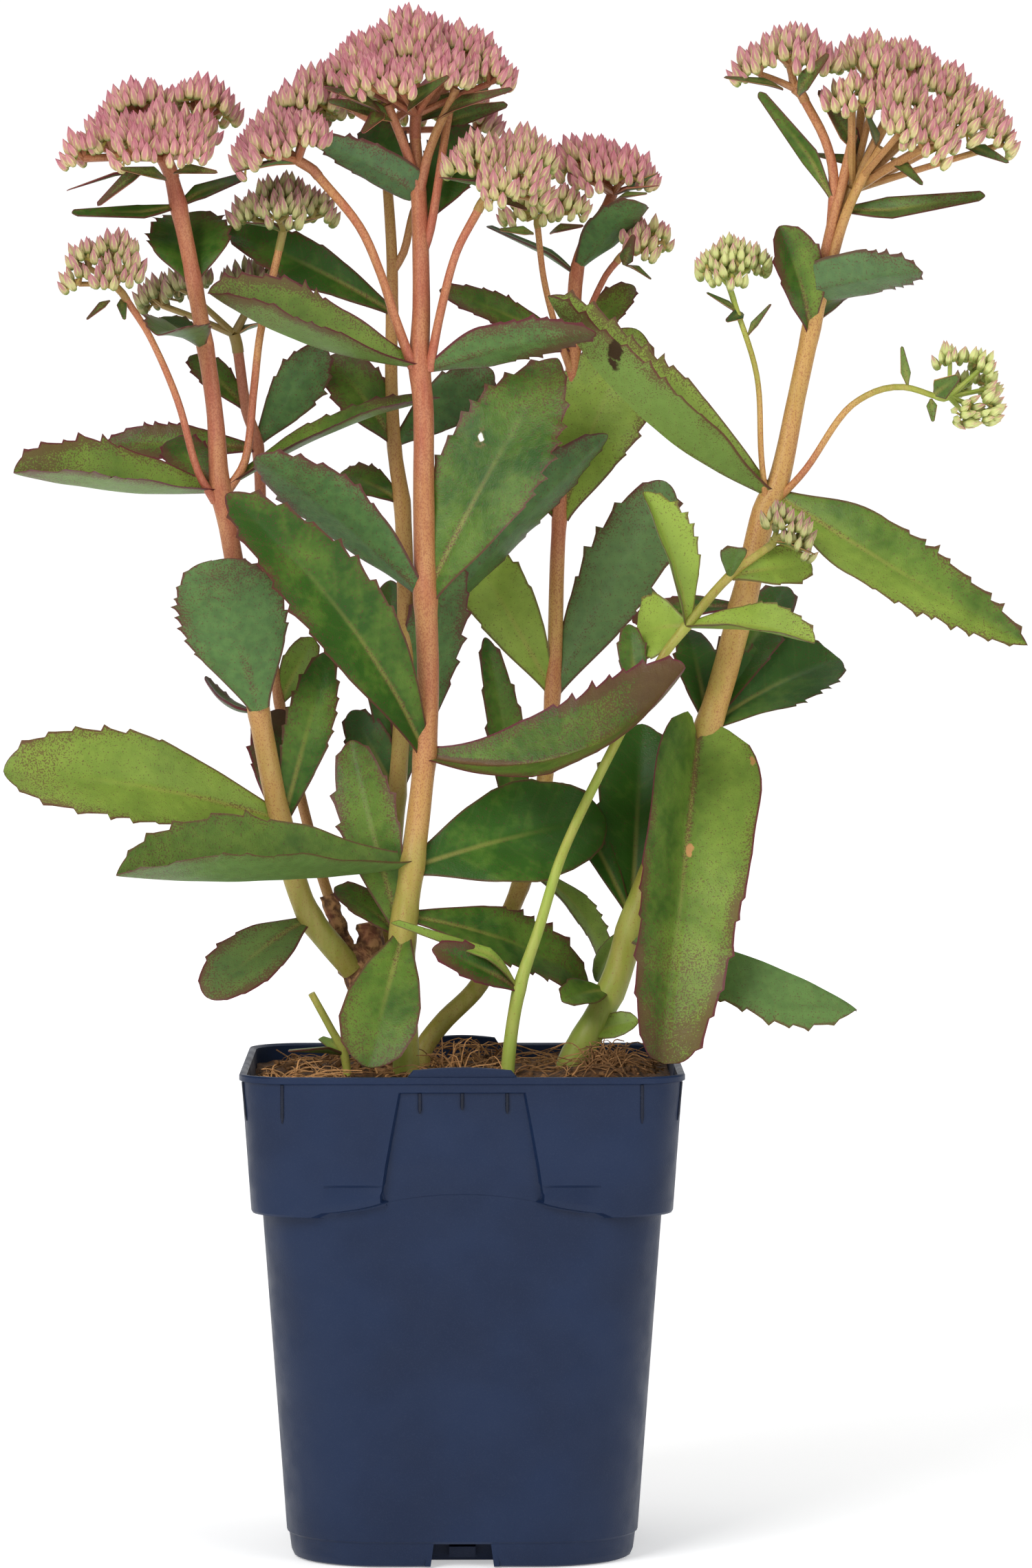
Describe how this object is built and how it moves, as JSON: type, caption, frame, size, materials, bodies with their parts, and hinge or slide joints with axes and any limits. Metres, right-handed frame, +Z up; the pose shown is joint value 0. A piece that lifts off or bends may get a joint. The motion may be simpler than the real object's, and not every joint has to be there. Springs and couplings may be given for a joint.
{
  "type": "potted plant",
  "caption": "Potted stonecrop with upright fleshy stems, toothed leaves and domed heads of closed pink buds, in a square dark navy nursery pot.",
  "frame": {"origin": "centre of the pot's flat base, where it stands", "axes": "+Z up along the stems, -Y towards the viewer of the front tab"},
  "size_m": [0.3096, 0.1365, 0.468],
  "materials": {
    "pot": "satin moulded plastic, dark navy",
    "substrate": "rough peat with coir fibre",
    "wood": "rough old rootstock",
    "greenery": "fleshy satin leaves with a waxy bloom, salmon stems",
    "pale_greenery": "fleshy satin, pale yellow-green",
    "buds": "closed pink buds, matt",
    "young_buds": "closed green and cream buds, matt"
  },
  "bodies": {
    "root": {"pot": "pot", "substrate": "substrate", "crown": "wood", "stem_front": "greenery", "stem_left": "greenery", "stem_middle": "greenery", "stem_back": "greenery", "stem_right": "greenery", "stem_far_left": "greenery", "shoot_pale": "pale_greenery", "shoot_low": "pale_greenery", "head_front": "buds", "head_front_left": "buds", "head_front_right": "buds", "head_left": "buds", "head_left_low": "buds", "head_left_middle": "buds", "head_back": "buds", "head_back_small": "buds", "head_back_side": "buds", "head_right": "buds", "head_right_upper": "buds", "head_right_young": "young_buds", "spray_right": "young_buds", "head_pale": "young_buds", "head_far_left": "buds", "head_middle": "buds"}
  },
  "joints": []
}
